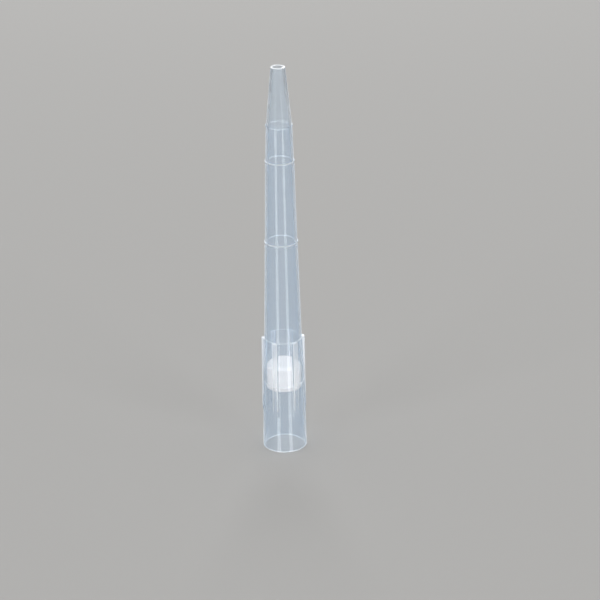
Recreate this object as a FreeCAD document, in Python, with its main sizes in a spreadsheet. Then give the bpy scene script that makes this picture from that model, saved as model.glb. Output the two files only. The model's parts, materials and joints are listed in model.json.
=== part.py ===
import FreeCAD, Part
import os
import Sketcher

# A one-millilitre filter pipette tip: one moulded tip body and the porous filter plug pressed into it.
# It stands on its wide mouth. The origin is at the centre of the mouth, on the surface the mouth rests on,
# and +Z runs along the axis to the narrow orifice. All sizes are in millimetres.

doc = FreeCAD.newDocument("pipette_tip")

driving_sizes = {
    "total_length": 80.0,
    # the filter plug and its seat
    "filter_radius": 3.445,
    "filter_length": 5.25,
    "filter_start": 13.05,  # height of the plug's mouth-side face
    "filter_chamfer": 0.55,
    "filter_fit_gap": 0.0,  # press fit, drawn line to line
    "filter_stand_out": 1.15,  # how far the plug stands out of its seat, towards the mouth
    "seat_step": 0.175,  # the socket is wider than the seat by this much
    "lip_length": 0.85,  # the plug springs out again below the seat, into a lip that rests on the seat's step
    "lip_gap": 0.025,  # between the lip and the socket's wall
    "seat_wall": 0.484,  # wall at the plug's far end
    # the socket that goes over the pipette's nose cone, and the collar round it
    "socket_taper": 0.23,  # radius lost from the sealing land to the seat's step
    "land_start": 5.0,  # the straight sealing land
    "land_length": 3.0,
    "mouth_flare": 0.15,  # radius gained from the land to the mouth
    "rim_wall": 0.40,
    "collar_length": 7.4,
    "collar_wall": 0.41,
    # the fins
    "fin_count": 6,
    "fin_width": 1.1,
    "fin_end": 23.8,  # height of the square ends
    "fin_lead": 1.9,  # the run-out starts this far inside the collar
    "fin_rise": 3.5,  # length of the run-out
    "fin_inset": 0.02,  # crest inside the mouth's radius
    "fin_draft": 0.10,  # radius lost along the crest
    "fin_root": 0.20,  # depth of the fin's root in the wall
    # the barrel, its three volume rings and the point
    "skirt_step": 0.035,  # fine step in radius at the fins' square ends
    "upper_taper": 0.0244,  # radius lost for each millimetre up to the first ring
    "middle_taper": 0.0226,
    "lower_taper": 0.0285,
    "ring_500_from_end": 35.7,  # the rings are placed from the orifice, because they mark volumes
    "ring_200_from_end": 18.9,
    "point_length": 11.7,  # the 100 microlitre ring is at the point's base
    "ring_step": 0.04,
    "bead_radius": 0.11,
    "barrel_wall": 0.50,
    "orifice_radius": 0.98,
    "point_wall": 0.42,
    # moulded roundings
    "rim_rounding": 0.10,
    "fin_rounding": 0.10,
}

sizes = doc.addObject("Spreadsheet::Sheet", "sizes")
for row, (alias, value) in enumerate(driving_sizes.items(), start=1):
    sizes.set(f"A{row}", alias)
    sizes.set(f"B{row}", str(value))
    sizes.setAlias(f"B{row}", alias)
doc.recompute()

# Radii and heights that follow from the driving sizes, in order from the filter's seat outwards and up.
worked_out = {
    "seat_radius": "sizes.filter_radius + sizes.filter_fit_gap",
    "seat_start": "sizes.filter_start + sizes.filter_stand_out",
    "filter_top": "sizes.filter_start + sizes.filter_length",
    "socket_end_radius": "seat_radius + sizes.seat_step",
    "lip_radius": "socket_end_radius - sizes.lip_gap",
    "land_radius": "socket_end_radius + sizes.socket_taper",
    "land_top": "sizes.land_start + sizes.land_length",
    "mouth_bore_radius": "land_radius + sizes.mouth_flare",
    "mouth_radius": "mouth_bore_radius + sizes.rim_wall",
    "collar_end_radius": "land_radius + sizes.collar_wall",
    "skirt_taper": "(collar_end_radius - seat_radius - sizes.seat_wall) / (filter_top - sizes.collar_length)",
    "skirt_end_radius": "collar_end_radius - skirt_taper * (sizes.fin_end - sizes.collar_length)",
    "barrel_radius": "skirt_end_radius - sizes.skirt_step",
    "ring_500_height": "sizes.total_length - sizes.ring_500_from_end",
    "ring_200_height": "sizes.total_length - sizes.ring_200_from_end",
    "ring_100_height": "sizes.total_length - sizes.point_length",
    "ring_500_radius": "barrel_radius - sizes.upper_taper * (ring_500_height - sizes.fin_end)",
    "past_500_radius": "ring_500_radius - sizes.ring_step",
    "ring_200_radius": "past_500_radius - sizes.middle_taper * (ring_200_height - ring_500_height)",
    "past_200_radius": "ring_200_radius - sizes.ring_step",
    "ring_100_radius": "past_200_radius - sizes.lower_taper * (ring_100_height - ring_200_height)",
    "past_100_radius": "ring_100_radius - sizes.ring_step",
    "orifice_outer_radius": "sizes.orifice_radius + sizes.point_wall",
    "fin_start": "sizes.collar_length - sizes.fin_lead",
    "crest_start": "fin_start + sizes.fin_rise",
    "crest_start_radius": "mouth_radius - sizes.fin_inset",
    "crest_end_radius": "crest_start_radius - sizes.fin_draft",
}

places = doc.addObject("App::VarSet", "places")
for name, expression in worked_out.items():
    places.addProperty("App::PropertyFloat", name)
    places.setExpression(name, expression)
    doc.recompute()


def value_of(expression):
    return float(sizes.evalExpression(expression))


def origin_part(body, role):
    return next(part for part in body.Origin.OriginFeatures if part.Role == role)


def new_body(label):
    body = doc.addObject("PartDesign::Body", label)
    body.Label = label
    return body


def new_sketch(body, name, role):
    sketch = body.newObject("Sketcher::SketchObject", name)
    sketch.AttachmentSupport = [(origin_part(body, role), "")]
    sketch.MapMode = "FlatFace"
    return sketch


def bind(sketch, kind, *where, expression):
    """Add one dimension to a sketch and bind it to an expression."""
    index = sketch.addConstraint(Sketcher.Constraint(kind, *where, value_of(expression)))
    sketch.setExpression(f"Constraints[{index}]", expression)


def draw_outline(sketch, corners):
    """Draw a closed outline of straight lines. Each corner is (radius, height), both expressions."""
    points = [FreeCAD.Vector(value_of(radius), value_of(height), 0) for radius, height in corners]
    for start, end in zip(points, points[1:] + points[:1]):
        sketch.addGeometry(Part.LineSegment(start, end), False)
    for line, (radius, height) in enumerate(corners):
        sketch.addConstraint(Sketcher.Constraint("Coincident", line, 2, (line + 1) % len(corners), 1))
        bind(sketch, "DistanceX", line, 1, expression=radius)
        if height == "0":
            sketch.addConstraint(Sketcher.Constraint("PointOnObject", line, 1, -1))
        else:
            bind(sketch, "DistanceY", line, 1, expression=height)


def revolve(body, name, sketch):
    turned = body.newObject("PartDesign::Revolution", name)
    turned.Profile = sketch
    turned.ReferenceAxis = (sketch, ["V_Axis"])
    turned.Angle = 360
    return turned


def round_edges(body, name, base, size, is_wanted):
    """Round those edges of a feature that the test picks."""
    edges = base.Shape.Edges
    rounding = body.newObject("PartDesign::Fillet", name)
    rounding.Base = (base, [f"Edge{number}" for number, edge in enumerate(edges, start=1) if is_wanted(edge)])
    rounding.setExpression("Radius", f"sizes.{size}")
    doc.recompute()


def add_wall(body):
    """The plain tube: collar, skirt, barrel and point outside, socket, seat and barrel bore inside."""
    sketch = new_sketch(body, "wall_outline", "XZ_Plane")
    outside = [
        ("places.mouth_radius", "0"),
        ("places.collar_end_radius", "sizes.collar_length"),
        ("places.skirt_end_radius", "sizes.fin_end"),
        ("places.barrel_radius", "sizes.fin_end"),
        ("places.ring_500_radius", "places.ring_500_height"),
        ("places.past_500_radius", "places.ring_500_height"),
        ("places.ring_200_radius", "places.ring_200_height"),
        ("places.past_200_radius", "places.ring_200_height"),
        ("places.ring_100_radius", "places.ring_100_height"),
        ("places.past_100_radius", "places.ring_100_height"),
        ("places.orifice_outer_radius", "sizes.total_length"),
    ]
    inside = [
        ("sizes.orifice_radius", "sizes.total_length"),
        ("places.ring_100_radius - sizes.barrel_wall", "places.ring_100_height"),
        ("places.ring_200_radius - sizes.barrel_wall", "places.ring_200_height"),
        ("places.ring_500_radius - sizes.barrel_wall", "places.ring_500_height"),
        ("places.skirt_end_radius - sizes.barrel_wall", "sizes.fin_end"),
        ("places.seat_radius", "places.filter_top"),
        ("places.seat_radius", "places.seat_start"),
        ("places.socket_end_radius", "places.seat_start"),
        ("places.land_radius", "places.land_top"),
        ("places.land_radius", "sizes.land_start"),
        ("places.mouth_bore_radius", "0"),
    ]
    draw_outline(sketch, outside + inside)
    revolve(body, "wall", sketch)


def add_ring(body, volume):
    """A fine half-round bead round the barrel, centred on the barrel's surface."""
    sketch = new_sketch(body, f"ring_{volume}_outline", "XZ_Plane")
    radius = f"places.ring_{volume}_radius"
    height = f"places.ring_{volume}_height"
    centre = FreeCAD.Vector(value_of(radius), value_of(height), 0)
    upright = FreeCAD.Vector(0, 0, 1)
    sketch.addGeometry(Part.Circle(centre, upright, value_of("sizes.bead_radius")), False)
    bind(sketch, "DistanceX", 0, 3, expression=radius)
    bind(sketch, "DistanceY", 0, 3, expression=height)
    bind(sketch, "Radius", 0, expression="sizes.bead_radius")
    return revolve(body, f"ring_{volume}", sketch)


def add_fins(body):
    """One fin, square at its barrel end and running out into the collar, then repeated round the axis.

    The fins come first, so that each is rounded while it is still a plain prism. The wall then joins them.
    """
    sketch = new_sketch(body, "fin_outline", "XZ_Plane")
    draw_outline(
        sketch,
        [
            ("places.collar_end_radius - sizes.fin_root", "places.fin_start"),
            ("places.crest_start_radius", "places.crest_start"),
            ("places.crest_end_radius", "sizes.fin_end"),
            ("places.skirt_end_radius - sizes.fin_root", "sizes.fin_end"),
        ],
    )
    fin = body.newObject("PartDesign::Pad", "fin")
    fin.Profile = sketch
    fin.SideType = "Symmetric"
    fin.setExpression("Length", "sizes.fin_width")
    doc.recompute()

    root_face = min(fin.Shape.Faces, key=lambda face: face.CenterOfMass.x)

    def stands_clear(edge):
        """True for the fin's outer edges: neither on its root nor the soft crease where the run-out ends."""
        on_root = any(edge.isSame(other) for other in root_face.Edges)
        return not on_root and abs(edge.CenterOfMass.z - value_of("places.crest_start")) > 1e-6

    round_edges(body, "fin_rounding", fin, "fin_rounding", stands_clear)
    fins = body.newObject("PartDesign::PolarPattern", "fins")
    fins.TransformMode = "Whole shape"
    fins.Axis = (origin_part(body, "Z_Axis"), [""])
    fins.Angle = 360
    fins.setExpression("Occurrences", "sizes.fin_count")
    body.Tip = fins


def is_rim_edge(edge):
    """True for the round edges of the mouth's and the orifice's flat rims."""
    height = edge.Vertexes[0].Z
    at_rim = min(abs(height), abs(height - value_of("sizes.total_length"))) < 1e-6
    return at_rim and isinstance(edge.Curve, Part.Circle)


def build_tip_body():
    body = new_body("tip_body")
    add_fins(body)
    add_wall(body)
    for volume in (500, 200, 100):
        last_ring = add_ring(body, volume)
    doc.recompute()
    round_edges(body, "rim_rounding", last_ring, "rim_rounding", is_rim_edge)
    return body


def build_filter_plug():
    """The porous plug: a disc of sintered plastic with a chamfered leading edge and a lip below its seat."""
    body = new_body("filter_plug")
    sketch = new_sketch(body, "plug_outline", "XY_Plane")
    sketch.setExpression("AttachmentOffset.Base.z", "sizes.filter_start")
    centre = FreeCAD.Vector(0, 0, 0)
    upright = FreeCAD.Vector(0, 0, 1)
    sketch.addGeometry(Part.Circle(centre, upright, value_of("sizes.filter_radius")), False)
    sketch.addConstraint(Sketcher.Constraint("Coincident", 0, 3, -1, 1))
    bind(sketch, "Radius", 0, expression="sizes.filter_radius")
    plug = body.newObject("PartDesign::Pad", "plug")
    plug.Profile = sketch
    plug.setExpression("Length", "sizes.filter_length")
    doc.recompute()
    chamfer = body.newObject("PartDesign::Chamfer", "leading_chamfer")
    far_edges = [
        f"Edge{number}"
        for number, edge in enumerate(plug.Shape.Edges, start=1)
        if isinstance(edge.Curve, Part.Circle) and edge.CenterOfMass.z > value_of("places.seat_start")
    ]
    chamfer.Base = (plug, far_edges)
    chamfer.setExpression("Size", "sizes.filter_chamfer")
    doc.recompute()
    lip = body.newObject("PartDesign::AdditiveCone", "lip")
    lip.AttachmentSupport = [(origin_part(body, "XY_Plane"), "")]
    lip.MapMode = "FlatFace"
    lip.setExpression("AttachmentOffset.Base.z", "places.seat_start - sizes.lip_length")
    lip.setExpression("Radius1", "sizes.filter_radius")
    lip.setExpression("Radius2", "places.lip_radius")
    lip.setExpression("Height", "sizes.lip_length")
    doc.recompute()
    return body


def check(bodies):
    for item in doc.Objects:
        faults = [state for state in item.State if state in ("Invalid", "Error")]
        if faults:
            raise RuntimeError(f"{item.Name} is {faults}")
    for body in bodies:
        if body.Shape.isNull() or not body.Shape.isValid() or len(body.Shape.Solids) != 1:
            raise RuntimeError(f"{body.Label} is not one valid solid")


bodies = [build_tip_body(), build_filter_plug()]
doc.recompute()
check(bodies)
os.makedirs("parts", exist_ok=True)
for body in bodies:
    body.Shape.exportStep(f"parts/{body.Label}.step")
    print(f"{body.Label}: {body.Shape.Volume:.2f} cubic millimetres, {len(body.Shape.Faces)} faces")
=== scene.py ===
import json
import math

import bmesh
import bpy
from mathutils import Matrix, Vector


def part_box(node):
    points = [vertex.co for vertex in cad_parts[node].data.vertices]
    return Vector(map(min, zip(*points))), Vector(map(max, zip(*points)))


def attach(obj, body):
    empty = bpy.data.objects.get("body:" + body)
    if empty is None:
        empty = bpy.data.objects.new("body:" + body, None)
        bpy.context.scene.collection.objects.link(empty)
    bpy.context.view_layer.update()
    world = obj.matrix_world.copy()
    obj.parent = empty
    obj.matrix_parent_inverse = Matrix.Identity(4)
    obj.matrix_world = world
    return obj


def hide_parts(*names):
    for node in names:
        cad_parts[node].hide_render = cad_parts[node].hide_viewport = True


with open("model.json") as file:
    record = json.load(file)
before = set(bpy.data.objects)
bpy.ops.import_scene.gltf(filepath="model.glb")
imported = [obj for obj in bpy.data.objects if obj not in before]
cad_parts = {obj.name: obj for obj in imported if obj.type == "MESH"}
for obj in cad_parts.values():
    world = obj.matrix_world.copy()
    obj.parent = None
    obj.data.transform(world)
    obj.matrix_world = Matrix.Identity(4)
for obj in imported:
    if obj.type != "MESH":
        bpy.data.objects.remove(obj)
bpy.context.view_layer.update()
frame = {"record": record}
mm = 0.001
sameSpot = 0.001 * mm  # corners as near as this are one corner
hair = 0.02 * mm  # a gap too fine to show
mounts = {mount["name"]: mount for mount in frame["record"]["mounts"]}
plugLow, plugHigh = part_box("filter_plug")
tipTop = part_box("tip_body")[1].z
print("frame loaded")


# small helpers for working by hand in edit mode

def deselectAll():
    if bpy.context.object and bpy.context.object.mode == "EDIT":
        bpy.ops.object.mode_set(mode="OBJECT")
    bpy.ops.object.select_all(action="DESELECT")


def openPiece(name):  # the primitive just added becomes a named piece, open in edit mode
    bpy.ops.object.transform_apply(location=True, rotation=True, scale=True)
    piece = bpy.context.object
    piece.name = name
    piece.data.name = name
    bpy.ops.object.mode_set(mode="EDIT")
    return piece


def pick(kind, test):  # selects the verts, edges or faces that pass the test
    bpy.ops.mesh.select_mode(type={"verts": "VERT", "edges": "EDGE", "faces": "FACE"}[kind])
    bpy.ops.mesh.select_all(action="DESELECT")
    mesh = bpy.context.edit_object.data
    net = bmesh.from_edit_mesh(mesh)
    for item in getattr(net, kind):
        item.select = test(item)
    net.select_flush_mode()
    bmesh.update_edit_mesh(mesh)


def near(value, target, slack=sameSpot):
    return abs(value - target) < slack


def closeMesh():  # doubles merged and faces turned outwards
    bpy.ops.mesh.select_all(action="SELECT")
    bpy.ops.mesh.remove_doubles(threshold=2 * sameSpot)
    bpy.ops.mesh.normals_make_consistent(inside=False)


def smoothPiece(piece, creaseAngle):
    bpy.ops.object.mode_set(mode="OBJECT")
    bpy.ops.object.shade_smooth_by_angle(angle=math.radians(creaseAngle))
    weighted = piece.modifiers.new("largeFacesStayFlat", "WEIGHTED_NORMAL")
    weighted.keep_sharp = True
    weighted.weight = 100
    bpy.ops.object.modifier_apply(modifier=weighted.name)
    print(f"{piece.name}: {len(piece.data.polygons)} faces")


# tip body: one clear moulded tube with six fins, three volume rings and a narrow point

tipBody = {  # millimetres
    "mouthRadius": 4.40,
    "rimWall": 0.40,
    "rimRounding": 0.10,
    "rimSegments": 5,
    "mouthBand": 0.16,  # height of the band round the mouth with the painted highlight finish
    "orificeBand": 0.105,  # and round the orifice
    "collarLength": 7.4,
    "collarEndRadius": 4.26,
    "skirtEndRadius": 3.762,
    "skirtStep": 0.035,
    "upperTaper": 0.0244,  # radius lost for each millimetre of height
    "middleTaper": 0.0226,
    "lowerTaper": 0.0285,
    "ring500FromEnd": 35.7,
    "ring200FromEnd": 18.9,
    "pointLength": 11.7,
    "ringStep": 0.04,
    "beadRadius": 0.11,
    "beadEnd": 111,  # degrees round the bead where it meets the narrower barrel above
    "beadSteps": 6,
    "barrelWall": 0.50,
    "orificeRadius": 0.98,
    "pointWall": 0.42,
    "seatRadius": 3.445,
    "seatStep": 0.24,
    "filterStandOut": 1.15,
    "softCorner": 0.25,  # slight corners are eased over this length on each side
    "cornerSegments": 2,
    "finCount": 6,
    "finWidth": 1.1,
    "finRise": 1.6,
    "crestStartRadius": 4.38,
    "crestEndRadius": 4.28,
    "finRounding": 0.16,
    "finFillet": 0.05,
    "footGap": 0.004,  # keeps the last corners of a square end's foot apart
    "skirtBand": 0.10,  # height of the band at the skirt's end with the painted highlight finish
    "finCap": 0.17,  # height of the band along a fin's square end with the painted highlight finish
    "flatColumns": 5,  # columns of faces on half the fin's crest
    "columns": 48,  # and in each sixth of the tube
    "creaseAngle": 50,
}
size = {name: value * mm for name, value in tipBody.items()}
sixth = 2 * math.pi / tipBody["finCount"]
finEnd = mounts["rack_seat"]["pos_m"][2]
crestStart = size["collarLength"] + size["finRise"]
seatStart = plugLow.z + size["filterStandOut"]
fadeMiddle = (crestStart + seatStart) / 2  # the fins turn milky in two steps, up to the seat: the plastic's haze with painted light on top
roundedTurns = (0, 30, 60, 90)  # degrees round a square end's edge, with a row of corners at each
widestInset = 0.96  # share of the rounding, so that the last row keeps a narrow face
filletBend = 0.3  # share of the fillet by which its upper corner leaves the fin's side


def skirtRadius(height):
    share = (height - size["collarLength"]) / (finEnd - size["collarLength"])
    return size["collarEndRadius"] + share * (size["skirtEndRadius"] - size["collarEndRadius"])


def crestRadius(height):
    share = (height - crestStart) / (finEnd - crestStart)
    return size["crestStartRadius"] + share * (size["crestEndRadius"] - size["crestStartRadius"])


def finRows():  # height and inset of each row of corners round a fin
    rounding = size["finRounding"]
    rows = [(height, 0) for height in (crestStart, fadeMiddle, seatStart, finEnd - size["finCap"])]
    for turn in roundedTurns:
        drop = rounding * (1 - math.sin(math.radians(turn)))
        inset = rounding * (1 - math.cos(math.radians(turn)))
        rows.append((finEnd - max(drop, hair / 2), min(inset, rounding * widestInset)))
    return rows


def bead(radius, height):  # a half-round ring on the barrel, drawn from below
    points = []
    for step in range(tipBody["beadSteps"] + 1):
        angle = math.radians(-90 + (90 + tipBody["beadEnd"]) * step / tipBody["beadSteps"])
        reach = size["beadRadius"]
        points.append((radius + reach * math.cos(angle), height + reach * math.sin(angle)))
    return points


def ringPlaces():  # radius and height of the 500, 200 and 100 ul rings
    ring500 = tipTop - size["ring500FromEnd"]
    ring200 = tipTop - size["ring200FromEnd"]
    ring100 = tipTop - size["pointLength"]
    barrelRadius = size["skirtEndRadius"] - size["skirtStep"]
    radius500 = barrelRadius - tipBody["upperTaper"] * (ring500 - finEnd)
    radius200 = radius500 - size["ringStep"] - tipBody["middleTaper"] * (ring200 - ring500)
    radius100 = radius200 - size["ringStep"] - tipBody["lowerTaper"] * (ring100 - ring200)
    return [(radius500, ring500), (radius200, ring200), (radius100, ring100)]


def tipOutline():  # half of the section: outside from mouth to point, then back down the bore
    rings = ringPlaces()
    outside = [(size["mouthRadius"], 0), (size["collarEndRadius"], size["collarLength"])]
    outside += [(skirtRadius(height), height) for height, inset in finRows()]
    outside += [
        (size["skirtEndRadius"], finEnd),
        (size["skirtEndRadius"] - size["skirtStep"], finEnd),
    ]
    for radius, height in rings:
        outside += bead(radius, height)
    outside += [(size["orificeRadius"] + size["pointWall"], tipTop)]
    land = mounts["nose_cone_socket"]
    landRadius = land["dims"]["r_mm"] * mm
    halfLand = land["dims"]["length_mm"] * mm / 2
    inside = [(size["orificeRadius"], tipTop)]
    inside += [(radius - size["barrelWall"], height) for radius, height in reversed(rings)]
    inside += [
        (size["skirtEndRadius"] - size["barrelWall"], finEnd),
        (size["seatRadius"], plugHigh.z),
        (size["seatRadius"], seatStart),
        (size["seatRadius"] + size["seatStep"], seatStart),
        (landRadius, land["pos_m"][2] + halfLand),
        (landRadius, land["pos_m"][2] - halfLand),
        (size["mouthRadius"] - size["rimWall"], 0),
    ]
    return outside, inside


def drawOutline(outline):  # a single vertex, extruded from corner to corner and closed
    corners = [Vector((radius, 0, height)) for radius, height in outline]
    bpy.ops.mesh.primitive_plane_add(size=mm, location=corners[0])
    piece = openPiece("tipBody")
    bpy.ops.mesh.merge(type="CENTER")
    for start, end in zip(corners, corners[1:]):
        bpy.ops.mesh.extrude_vertices_move(TRANSFORM_OT_translate={"value": end - start})
    pickCorners([outline[0], outline[-1]])
    bpy.ops.mesh.edge_face_add()
    return piece


def pickCorners(places):
    pick("verts", lambda vert: any(
        near(vert.co.x, radius) and near(vert.co.z, height) for radius, height in places
    ))


def roundCorners(outside, inside):
    rims = [outside[0], outside[-1], inside[0], inside[-1]]
    pickCorners(rims)
    bpy.ops.mesh.bevel(
        offset=size["rimRounding"], segments=tipBody["rimSegments"], affect="VERTICES"
    )
    # slight corners: the collar's end, and those of the bore apart from the seat's square step
    slight = [outside[1], *inside[1:6], *inside[8:10]]
    pickCorners(slight)
    bpy.ops.mesh.bevel(
        offset=size["softCorner"], segments=tipBody["cornerSegments"], affect="VERTICES"
    )


def spinSixth():  # one sixth of the tube, with a fin's middle on +X
    bpy.ops.mesh.select_all(action="SELECT")
    bpy.ops.mesh.spin(steps=tipBody["columns"], angle=sixth, center=(0, 0, 0), axis=(0, 0, 1))
    bpy.ops.mesh.select_all(action="SELECT")
    bpy.ops.transform.rotate(value=-sixth / 2, orient_axis="Z", center_override=(0, 0, 0))


def moveColumn(column, radius, height, target):  # both mirrored corners of a column, in one row
    angle = sixth / tipBody["columns"] * column
    x = radius * math.cos(angle)
    y = radius * math.sin(angle)
    pick("verts", lambda vert: (
        near(vert.co.z, height) and near(vert.co.x, x) and near(abs(vert.co.y), y)
    ))
    if column:
        bpy.ops.transform.resize(value=(1, target.y / y, 1), center_override=(0, 0, 0))
    bpy.ops.transform.translate(value=(target.x - x, 0, target.z - height))


def finColumns(height, inset):  # where the corners of one row go, from the crest's middle outwards
    rounding = size["finRounding"]
    halfWidth = size["finWidth"] / 2
    crest = crestRadius(height)
    corner = (rounding - inset) * math.sqrt(0.5)
    flat = tipBody["flatColumns"]
    tube = skirtRadius(height)
    fillet = size["finFillet"]
    places = [(crest - inset, (halfWidth - rounding) * column / flat) for column in range(flat + 1)]
    places.append((crest - rounding + corner, halfWidth - rounding + corner))
    places.append((crest - rounding, halfWidth - inset))
    root = halfWidth - inset + fillet * filletBend
    places.append((math.sqrt(tube ** 2 - root ** 2) + fillet, root))
    foot = halfWidth + fillet
    places.append((math.sqrt(tube ** 2 - foot ** 2), foot))
    return places


def shapeFin():
    for height, inset in finRows():
        places = finColumns(height, inset)
        raised = finEnd if near(height, finEnd, hair) else height
        for column in reversed(range(len(places))):
            x, y = places[column]
            z = height if column == len(places) - 1 else raised  # the last column stays on the tube
            moveColumn(column, skirtRadius(height), height, Vector((x, y, z)))
    flatEnd = size["finWidth"] / 2 - size["finRounding"]
    flat = tipBody["flatColumns"]
    lastColumn = flat + 3
    for column in reversed(range(lastColumn + 1)):  # the square end's foot, on the skirt
        y = flatEnd * min(column / flat, 1) + size["footGap"] * max(column - flat, 0)
        x = math.sqrt(size["skirtEndRadius"] ** 2 - y ** 2)
        moveColumn(column, size["skirtEndRadius"], finEnd, Vector((x, y, finEnd)))


def onBead(middle, radius, ring, height):  # whether a face belongs to the bead of a ring
    return near(middle.z, height, size["beadRadius"]) and radius > ring - 2 * size["ringStep"]


def finishAt(face):
    middle = face.calc_center_median()
    radius = math.hypot(middle.x, middle.y)
    *markRings, (pointRadius, pointStart) = ringPlaces()
    # the bands round the mouth and the orifice get the painted highlight finish
    if not size["mouthBand"] < middle.z < tipTop - size["orificeBand"]:
        return "edge"
    # the ring beads get their painted highlight finish
    if any(onBead(middle, radius, ring, height) for ring, height in markRings):
        return "ring"
    outside = radius > pointRadius - size["ringStep"]
    if middle.z > pointStart - (size["beadRadius"] if outside else 0):
        return "point"
    stepRadius = size["skirtEndRadius"] - size["skirtStep"]
    # so does the band at the skirt's end
    if near(middle.z, finEnd, size["skirtBand"]) and radius > stepRadius:
        return "edge"
    if near(middle.z, seatStart, hair) and abs(face.normal.z) > 0.5:  # the seat's level step, with the painted highlight finish
        return "edge"
    # fins get their painted light finishes
    if size["collarLength"] < middle.z < finEnd and radius > skirtRadius(middle.z) + hair:
        return finFinish(middle, radius)
    return "wall"


def finFinish(middle, radius):  # lighter corners on a milkier fin, both fading towards the mouth: painted light over the plastic's haze
    # the band along the fin's square end gets the painted highlight finish
    if middle.z > finEnd - size["finCap"]:
        return "edge"
    if middle.z < crestStart:
        return "finStart"
    turn = math.atan2(middle.y, middle.x)
    turn -= sixth * round(turn / sixth)
    rounding = size["finRounding"]
    beside = size["finWidth"] / 2 - abs(radius * math.sin(turn))
    below = crestRadius(middle.z) - radius * math.cos(turn)
    if below > rounding:
        return "fin"
    # corners: painted highlight in the upper half, the lighter painted light corner finish below
    if beside < rounding:
        return "edge" if middle.z > fadeMiddle else "finCorner"
    if middle.z < seatStart:
        return "finStart" if middle.z < fadeMiddle else "finMiddle"
    return "fin"


def makeTipBody(finishes):
    deselectAll()
    outside, inside = tipOutline()
    piece = drawOutline(outside + inside)
    roundCorners(outside, inside)
    spinSixth()
    shapeFin()
    bpy.ops.mesh.select_all(action="SELECT")
    for turn in range(tipBody["finCount"] - 1):
        bpy.ops.mesh.duplicate()
        bpy.ops.transform.rotate(value=-sixth, orient_axis="Z", center_override=(0, 0, 0))
    closeMesh()
    for number, (name, finish) in enumerate(finishes.items()):
        piece.data.materials.append(finish)
        piece.active_material_index = number
        pick("faces", lambda face: finishAt(face) == name)
        bpy.ops.object.material_slot_assign()
    smoothPiece(piece, tipBody["creaseAngle"])
    return piece


# filter plug: a disc of sintered white plastic, pressed into its seat

filterPlug = {  # millimetres
    "clearance": 0.01,  # between the plug and its seat
    "chamfer": 0.55,
    "chamferRounding": 0.12,
    "edgeRounding": 0.10,
    "roundingSegments": 3,
    "lipRadius": 3.66,  # where the plug was shaved on its way into the seat
    "lipLength": 0.85,
    "lipEdge": (0.18, 0.42),  # where the lip is widest, counted down from the seat's step
    "shavingStart": 0.05,  # what stands out further than this is ragged
    "shavingSize": 0.5,
    "shavingDepth": 0.10,
    "sides": 96,
    "grainSize": 0.22,
    "grainDepth": 0.02,
    "meshSize": 0.09,
    "creaseAngle": 60,
}


def pushIn(piece, name, grainSize, depth, only=""):  # dents the surface, never outwards
    texture = bpy.data.textures.new(name, "CLOUDS")
    texture.noise_scale = grainSize * mm
    texture.noise_depth = 1
    push = piece.modifiers.new(name, "DISPLACE")
    push.texture = texture
    push.texture_coords = "LOCAL"
    push.mid_level = 1.0
    push.strength = depth * mm
    push.vertex_group = only
    bpy.ops.object.modifier_apply(modifier=push.name)


def makeFilterPlug():
    deselectAll()
    radius = size["seatRadius"] - filterPlug["clearance"] * mm
    segments = filterPlug["roundingSegments"]
    middle = (plugLow.z + plugHigh.z) / 2
    bpy.ops.mesh.primitive_cylinder_add(
        vertices=filterPlug["sides"],
        radius=radius,
        depth=plugHigh.z - plugLow.z,
        location=(0, 0, middle),
    )
    piece = openPiece("filterPlug")
    pick("edges", lambda edge: all(near(vert.co.z, plugHigh.z) for vert in edge.verts))
    bpy.ops.mesh.bevel(offset=filterPlug["chamfer"] * mm, segments=1, affect="EDGES")
    pick("edges", lambda edge: (
        near(edge.verts[0].co.z, edge.verts[1].co.z) and edge.verts[0].co.z > middle
    ))
    bpy.ops.mesh.bevel(
        offset=filterPlug["chamferRounding"] * mm, segments=segments, affect="EDGES"
    )
    pick("edges", lambda edge: all(near(vert.co.z, plugLow.z) for vert in edge.verts))
    bpy.ops.mesh.bevel(
        offset=filterPlug["edgeRounding"] * mm, segments=segments, affect="EDGES"
    )
    lipTop = seatStart - hair
    lipEdge = [lipTop - drop * mm for drop in filterPlug["lipEdge"]]
    for height in (lipTop, *lipEdge, lipTop - filterPlug["lipLength"] * mm):
        bpy.ops.mesh.select_all(action="SELECT")
        bpy.ops.mesh.bisect(plane_co=(0, 0, height), plane_no=(0, 0, 1))
    pick("verts", lambda vert: any(near(vert.co.z, height) for height in lipEdge))
    wider = filterPlug["lipRadius"] * mm / radius
    bpy.ops.transform.resize(value=(wider, wider, 1), center_override=(0, 0, 0))
    bpy.ops.object.mode_set(mode="OBJECT")
    remesh = piece.modifiers.new("evenMesh", "REMESH")
    remesh.mode = "VOXEL"
    remesh.voxel_size = filterPlug["meshSize"] * mm
    bpy.ops.object.modifier_apply(modifier=remesh.name)
    bpy.ops.object.mode_set(mode="EDIT")
    ragged = radius + filterPlug["shavingStart"] * mm
    pick("verts", lambda vert: math.hypot(vert.co.x, vert.co.y) > ragged)
    bpy.ops.object.vertex_group_add()
    bpy.ops.object.vertex_group_assign()
    bpy.ops.object.mode_set(mode="OBJECT")
    lip = piece.vertex_groups[0].name
    pushIn(piece, "shavings", filterPlug["shavingSize"], filterPlug["shavingDepth"], lip)
    pushIn(piece, "grain", filterPlug["grainSize"], filterPlug["grainDepth"])
    bpy.ops.object.mode_set(mode="EDIT")
    closeMesh()
    smoothPiece(piece, filterPlug["creaseAngle"])
    return piece


# materials

noiseSpread = (0.3, 0.7)  # most of a noise's values lie between these


def newMaterial(name):
    material = bpy.data.materials.new(name)
    material.use_nodes = True
    nodes = material.node_tree.nodes
    nodes.clear()
    return material, nodes, material.node_tree.links


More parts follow.
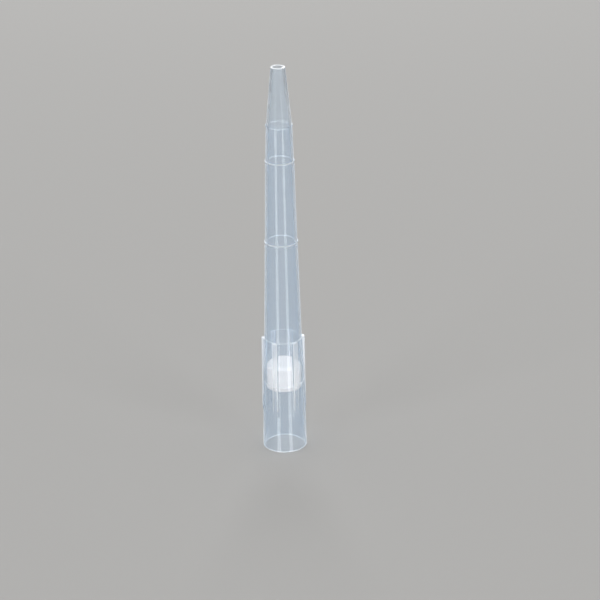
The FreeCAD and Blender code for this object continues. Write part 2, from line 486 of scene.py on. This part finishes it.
def addNoise(nodes, links, scale, detail, stretch=(1, 1, 1)):  # fixed to the piece
    where = nodes.new("ShaderNodeTexCoord")
    mapping = nodes.new("ShaderNodeMapping")
    mapping.inputs["Scale"].default_value = stretch
    noise = nodes.new("ShaderNodeTexNoise")
    noise.inputs["Scale"].default_value = scale
    noise.inputs["Detail"].default_value = detail
    links.new(where.outputs["Object"], mapping.inputs["Vector"])
    links.new(mapping.outputs["Vector"], noise.inputs["Vector"])
    return noise.outputs["Fac"]


def addRange(nodes, links, value, low, high, spanned=noiseSpread):
    spread = nodes.new("ShaderNodeMapRange")
    spread.inputs["From Min"].default_value = spanned[0]
    spread.inputs["From Max"].default_value = spanned[1]
    spread.inputs["To Min"].default_value = low
    spread.inputs["To Max"].default_value = high
    links.new(value, spread.inputs["Value"])
    return spread.outputs["Result"]


def addTint(nodes, links, value, dark, light):
    ramp = nodes.new("ShaderNodeValToRGB")
    for element, position, colour in zip(ramp.color_ramp.elements, noiseSpread, (dark, light)):
        element.position = position
        element.color = (*colour, 1)
    links.new(value, ramp.inputs["Fac"])
    return ramp.outputs["Color"]


def addBump(nodes, links, height, depth):
    bump = nodes.new("ShaderNodeBump")
    bump.inputs["Strength"].default_value = 1.0
    bump.inputs["Distance"].default_value = depth
    links.new(height, bump.inputs["Height"])
    return bump.outputs["Normal"]


def addMath(nodes, links, kind, first, second):
    step = nodes.new("ShaderNodeMath")
    step.operation = kind
    links.new(first, step.inputs[0])
    links.new(second, step.inputs[1])
    return step.outputs["Value"]


mouldedMarks = {
    "flowStretch": (1, 1, 0.06),  # the flow marks run along the tube
    "flowDetail": 3,
    "waveScale": 300,
    "waveDetail": 2,
    "mouthWaveScale": 1300,
    "mouthWaveStretch": (1, 1, 0.5),
    "mouthWaveDetail": 5,
    "mouthWaveEnd": (-1.5, 0.5),  # millimetres from the plug's underside, where they fade out
}
surfaceInputs = {
    "Flow Scale": "NodeSocketFloat",
    "Dark Tint": "NodeSocketColor",
    "Light Tint": "NodeSocketColor",
    "Low Roughness": "NodeSocketFloat",
    "High Roughness": "NodeSocketFloat",
    "Wave Depth": "NodeSocketFloat",
    "Mouth Wave Depth": "NodeSocketFloat",
}
surfaceOutputs = {
    "Tint": "NodeSocketColor",
    "Roughness": "NodeSocketFloat",
    "Normal": "NodeSocketVector",
}


def buildMouldedSurface():  # flow marks and waviness, shared by every polypropylene finish
    group = bpy.data.node_groups.new("mouldedSurface", "ShaderNodeTree")
    for name, kind in surfaceInputs.items():
        group.interface.new_socket(name, in_out="INPUT", socket_type=kind)
    for name, kind in surfaceOutputs.items():
        group.interface.new_socket(name, in_out="OUTPUT", socket_type=kind)
    nodes, links = group.nodes, group.links
    given = nodes.new("NodeGroupInput").outputs
    result = nodes.new("NodeGroupOutput").inputs
    where = nodes.new("ShaderNodeTexCoord")
    split = nodes.new("ShaderNodeSeparateXYZ")
    links.new(where.outputs["Object"], split.inputs["Vector"])
    marks = mouldedMarks
    flow = addNoise(nodes, links, 1, marks["flowDetail"], marks["flowStretch"])  # scale linked below
    links.new(given["Flow Scale"], flow.node.inputs["Scale"])
    tint = nodes.new("ShaderNodeMix")
    tint.data_type = "RGBA"
    tintSockets = [socket for socket in tint.inputs if socket.type == "RGBA"]
    links.new(addRange(nodes, links, flow, 0, 1), tint.inputs[0])
    links.new(given["Dark Tint"], tintSockets[0])
    links.new(given["Light Tint"], tintSockets[1])
    links.new([socket for socket in tint.outputs if socket.type == "RGBA"][0], result["Tint"])
    shine = addRange(nodes, links, flow, 0, 1)
    links.new(given["Low Roughness"], shine.node.inputs["To Min"])
    links.new(given["High Roughness"], shine.node.inputs["To Max"])
    links.new(shine, result["Roughness"])
    waves = addNoise(nodes, links, marks["waveScale"], marks["waveDetail"])
    waves = addMath(nodes, links, "MULTIPLY", waves, given["Wave Depth"])
    mouthWaves = addNoise(
        nodes, links, marks["mouthWaveScale"], marks["mouthWaveDetail"], marks["mouthWaveStretch"]
    )
    fadeOut = [plugLow.z + offset * mm for offset in marks["mouthWaveEnd"]]
    nearMouth = addRange(nodes, links, split.outputs["Z"], 1, 0, fadeOut)
    mouthWaves = addMath(nodes, links, "MULTIPLY", mouthWaves, nearMouth)
    mouthWaves = addMath(nodes, links, "MULTIPLY", mouthWaves, given["Mouth Wave Depth"])
    allWaves = addMath(nodes, links, "ADD", waves, mouthWaves)
    links.new(addBump(nodes, links, allWaves, 1), result["Normal"])  # their height is in metres
    return group


blueHaze = (0.30, 0.64, 1.0)
fineWaveDepth = 0.0012 * mm
mouthWaveDepth = 0.014 * mm
wallPlastic = {
    "clearness": 0.955,  # the rest is the faint milky haze
    "sheen": 0.20,
    "sheenTint": blueHaze,
    "surface": {
        "Flow Scale": 700,
        "Dark Tint": (0.893, 0.925, 0.957),
        "Light Tint": (0.922, 0.945, 0.972),
        "Low Roughness": 0.03,
        "High Roughness": 0.07,
        "Wave Depth": fineWaveDepth,
        "Mouth Wave Depth": mouthWaveDepth,
    },
}
# the fins: a milkier, lighter copy of the plastic, partly its haze and partly painted light standing
# in for the light the fins catch
paintedLightFinPlastic = {
    "clearness": 0.66,
    "sheen": 0.20,
    "sheenTint": blueHaze,
    "surface": {
        "Flow Scale": 700,
        "Dark Tint": (0.91, 0.94, 0.97),
        "Light Tint": (0.95, 0.965, 0.985),
        "Low Roughness": 0.05,
        "High Roughness": 0.12,
        "Wave Depth": fineWaveDepth,
        "Mouth Wave Depth": mouthWaveDepth,
    },
}
# painted highlight: a milkier, rougher copy of the plastic, so that rims, fin caps, upper fin
# corners, the skirt's end and the seat's step read light
paintedHighlightPlastic = {
    "clearness": 0.5,
    "sheen": 0.75,
    "sheenTint": (0.90, 0.95, 1.0),
    "surface": {
        "Flow Scale": 900,
        "Dark Tint": (0.91, 0.945, 0.985),
        "Light Tint": (0.95, 0.97, 0.995),
        "Low Roughness": 0.16,
        "High Roughness": 0.30,
        "Wave Depth": 0.006 * mm,
        "Mouth Wave Depth": 0.0,
    },
}
# painted highlight: the beads of the volume rings a milkier, rougher copy of the plastic, so they
# show as light lines
paintedHighlightRingPlastic = {
    "clearness": 0.62,
    "sheen": 0.30,
    "sheenTint": (0.85, 0.93, 1.0),
    "surface": {
        "Flow Scale": 900,
        "Dark Tint": (0.93, 0.955, 0.985),
        "Light Tint": (0.97, 0.98, 0.995),
        "Low Roughness": 0.40,
        "High Roughness": 0.55,
        "Wave Depth": 0.004 * mm,
        "Mouth Wave Depth": 0.0,
    },
}
# painted light on the fins' lower half, weaker than above
paintedLightFadingPlastic = {
    "clearness": 0.77,
    "sheen": 0.20,
    "sheenTint": blueHaze,
    "surface": {
        "Flow Scale": 700,
        "Dark Tint": (0.875, 0.91, 0.95),
        "Light Tint": (0.92, 0.945, 0.975),
        "Low Roughness": 0.05,
        "High Roughness": 0.10,
        "Wave Depth": fineWaveDepth,
        "Mouth Wave Depth": mouthWaveDepth,
    },
}
pointPlastic = {
    "clearness": 0.95,
    "sheen": 0.14,
    "sheenTint": (0.6, 0.8, 1.0),
    "surface": {
        "Flow Scale": 1100,
        "Dark Tint": (0.86, 0.905, 0.95),
        "Light Tint": (0.91, 0.94, 0.97),
        "Low Roughness": 0.15,
        "High Roughness": 0.20,
        "Wave Depth": fineWaveDepth,
        "Mouth Wave Depth": 0.0,
    },
}
# weaker still where the fins start
paintedLightStartPlastic = {**paintedLightFadingPlastic, "clearness": 0.88}
# painted light: the lower fin corners a lighter copy of the plastic, so the outline loses its dark
# refraction marks
paintedLightCornerPlastic = {**paintedHighlightPlastic, "clearness": 0.65, "sheen": 0.45}
plastic = {  # what all the finishes share
    "indexOfRefraction": 1.49,
    "sheenRoughness": 0.8,
    "shadowTint": (0.86, 0.86, 0.86),
}


def polypropylene(name, finish):
    material, nodes, links = newMaterial(name)
    surface = nodes.new("ShaderNodeGroup")
    surface.node_tree = mouldedSurface
    for socket, value in finish["surface"].items():
        surface.inputs[socket].default_value = (*value, 1) if isinstance(value, tuple) else value
    shader = nodes.new("ShaderNodeBsdfPrincipled")
    shader.inputs["Transmission Weight"].default_value = finish["clearness"]
    shader.inputs["IOR"].default_value = plastic["indexOfRefraction"]
    shader.inputs["Sheen Weight"].default_value = finish["sheen"]
    shader.inputs["Sheen Roughness"].default_value = plastic["sheenRoughness"]
    shader.inputs["Sheen Tint"].default_value = (*finish["sheenTint"], 1)
    links.new(surface.outputs["Tint"], shader.inputs["Base Color"])
    links.new(surface.outputs["Roughness"], shader.inputs["Roughness"])
    links.new(surface.outputs["Normal"], shader.inputs["Normal"])
    shadow = nodes.new("ShaderNodeBsdfTransparent")
    shadow.inputs["Color"].default_value = (*plastic["shadowTint"], 1)
    path = nodes.new("ShaderNodeLightPath")
    either = nodes.new("ShaderNodeMixShader")
    links.new(path.outputs["Is Shadow Ray"], either.inputs["Fac"])
    links.new(shader.outputs["BSDF"], either.inputs[1])
    links.new(shadow.outputs["BSDF"], either.inputs[2])
    out = nodes.new("ShaderNodeOutputMaterial")
    links.new(either.outputs["Shader"], out.inputs["Surface"])
    return material


porousFinish = {
    "grainScale": 5200,
    "grainDetail": 3,
    "grainDepth": 0.05 * mm,
    "patchScale": 700,
    "patchDetail": 2,
    "darkTint": (0.965, 0.905, 0.865),
    "lightTint": (0.985, 0.93, 0.89),
    "lowRoughness": 0.75,
    "highRoughness": 0.95,
}


def porousPolyethylene():
    look = porousFinish
    material, nodes, links = newMaterial("porousPolyethylene")
    grain = addNoise(nodes, links, look["grainScale"], look["grainDetail"])
    patches = addNoise(nodes, links, look["patchScale"], look["patchDetail"])
    tint = addTint(nodes, links, patches, look["darkTint"], look["lightTint"])
    shine = addRange(nodes, links, grain, look["lowRoughness"], look["highRoughness"])
    shader = nodes.new("ShaderNodeBsdfPrincipled")
    links.new(tint, shader.inputs["Base Color"])
    links.new(shine, shader.inputs["Roughness"])
    links.new(addBump(nodes, links, grain, look["grainDepth"]), shader.inputs["Normal"])
    out = nodes.new("ShaderNodeOutputMaterial")
    links.new(shader.outputs["BSDF"], out.inputs["Surface"])
    return material


# the stand, the lamps and the camera

stage = {
    "floorSize": 6.0,  # metres
    "floorColour": (0.47, 0.465, 0.455),
    "floorRoughness": 0.9,
    "floorSpecular": 0.2,
    "worldColour": (0.58, 0.58, 0.58),
}


def makeFloor():
    deselectAll()
    bpy.ops.mesh.primitive_plane_add(size=stage["floorSize"], location=(0, 0, 0))
    floor = bpy.context.object
    floor.name = "floor"
    material, nodes, links = newMaterial("floorFinish")
    shader = nodes.new("ShaderNodeBsdfPrincipled")
    shader.inputs["Base Color"].default_value = (*stage["floorColour"], 1)
    shader.inputs["Roughness"].default_value = stage["floorRoughness"]
    shader.inputs["Specular IOR Level"].default_value = stage["floorSpecular"]
    out = nodes.new("ShaderNodeOutputMaterial")
    links.new(shader.outputs["BSDF"], out.inputs["Surface"])
    floor.data.materials.append(material)
    floor.visible_glossy = False


def makeWorld():
    world = bpy.data.worlds.new("studio")
    world.use_nodes = True
    world.node_tree.nodes["Background"].inputs["Color"].default_value = (*stage["worldColour"], 1)
    bpy.context.scene.world = world


def directionTo(azimuth, elevation):  # in degrees; azimuth 0 is straight in front, along -Y
    turn = math.radians(azimuth)
    rise = math.radians(elevation)
    level = math.cos(rise)
    return Vector((math.sin(turn) * level, -math.cos(turn) * level, math.sin(rise)))


def addLamp(name, azimuth, elevation, distance, width, height, radiance):  # aimed at half height
    direction = directionTo(azimuth, elevation)
    lamp = bpy.data.lights.new(name, "AREA")
    lamp.shape = "RECTANGLE"
    lamp.size = width
    lamp.size_y = height
    lamp.energy = radiance * math.pi * width * height
    holder = bpy.data.objects.new(name, lamp)
    holder.location = Vector((0, 0, tipTop / 2)) + direction * distance
    holder.rotation_euler = (-direction).to_track_quat("-Z", "Y").to_euler()
    holder.visible_camera = False
    bpy.context.scene.collection.objects.link(holder)


camera = {  # degrees and metres
    "lens": 143.9,  # millimetres
    "distance": 0.475,
    "azimuth": -5.5,
    "elevation": 23.56,
    "roll": -0.94,
    "aimHeight": 0.03157,
    "aimSideways": 0.0035,
}
lamps = {  # degrees and metres; the radiance is that of the lamp's face
    "softbox": {"elevation": -16.5, "distance": 2.4, "width": 0.72, "height": 1.32, "radiance": 3.9},
    "rim": {"elevation": -21, "distance": 1.2, "width": 1.4, "height": 0.6, "radiance": 0.4},
    "back": {"elevation": 25, "distance": 1.2, "width": 0.6, "height": 0.4, "radiance": 7},
    "key": {"elevation": 15, "distance": 1.2, "width": 0.5, "height": 0.5, "radiance": 6.1},
    "softboxAngle": 31.3,  # to each side of the camera, for the two long reflections
    "rimAngle": 145,  # the same, for the light along the outline
    "keyAzimuths": {"leftKey": -50, "rightKey": 40},
}


def makeCamera():
    azimuth = math.radians(camera["azimuth"])
    roll = math.radians(camera["roll"])
    right = Vector((math.cos(azimuth), math.sin(azimuth), 0))
    back = directionTo(camera["azimuth"], camera["elevation"])
    up = back.cross(right)
    turnedRight = math.cos(roll) * right + math.sin(roll) * up
    turnedUp = math.cos(roll) * up - math.sin(roll) * right
    aim = right * camera["aimSideways"] + Vector((0, 0, camera["aimHeight"]))
    lens = bpy.data.cameras.new("camera")
    lens.lens = camera["lens"]
    lens.clip_start = 0.01
    holder = bpy.data.objects.new("camera", lens)
    turned = Matrix((turnedRight, turnedUp, back)).transposed().to_4x4()
    holder.matrix_world = Matrix.Translation(aim + back * camera["distance"]) @ turned
    bpy.context.scene.collection.objects.link(holder)
    bpy.context.scene.camera = holder


def makeLamps():
    ahead = camera["azimuth"]
    for name, side in (("left", -1), ("right", 1)):
        addLamp(name + "Softbox", ahead + side * lamps["softboxAngle"], **lamps["softbox"])
        addLamp(name + "Rim", ahead + side * lamps["rimAngle"], **lamps["rim"])
    addLamp("backSoftbox", ahead + 180, **lamps["back"])
    for name, azimuth in lamps["keyAzimuths"].items():
        addLamp(name, azimuth, **lamps["key"])


bpy.context.scene.view_settings.view_transform = "Standard"
makeCamera()
makeWorld()
makeFloor()
makeLamps()
print("stage, lamps and camera set")

mouldedSurface = buildMouldedSurface()
tip = makeTipBody({
    "wall": polypropylene("clearWall", wallPlastic),
    "fin": polypropylene("milkyFin", paintedLightFinPlastic),
    "edge": polypropylene("brightEdge", paintedHighlightPlastic),
    "point": polypropylene("mattPoint", pointPlastic),
    "ring": polypropylene("volumeRing", paintedHighlightRingPlastic),
    "finStart": polypropylene("finStart", paintedLightStartPlastic),
    "finMiddle": polypropylene("finMiddle", paintedLightFadingPlastic),
    "finCorner": polypropylene("finCorner", paintedLightCornerPlastic),
})
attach(tip, "root")
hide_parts("tip_body")
print("tip body done")

plug = makeFilterPlug()
plug.data.materials.append(porousPolyethylene())
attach(plug, "root")
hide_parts("filter_plug")
print("filter plug done")
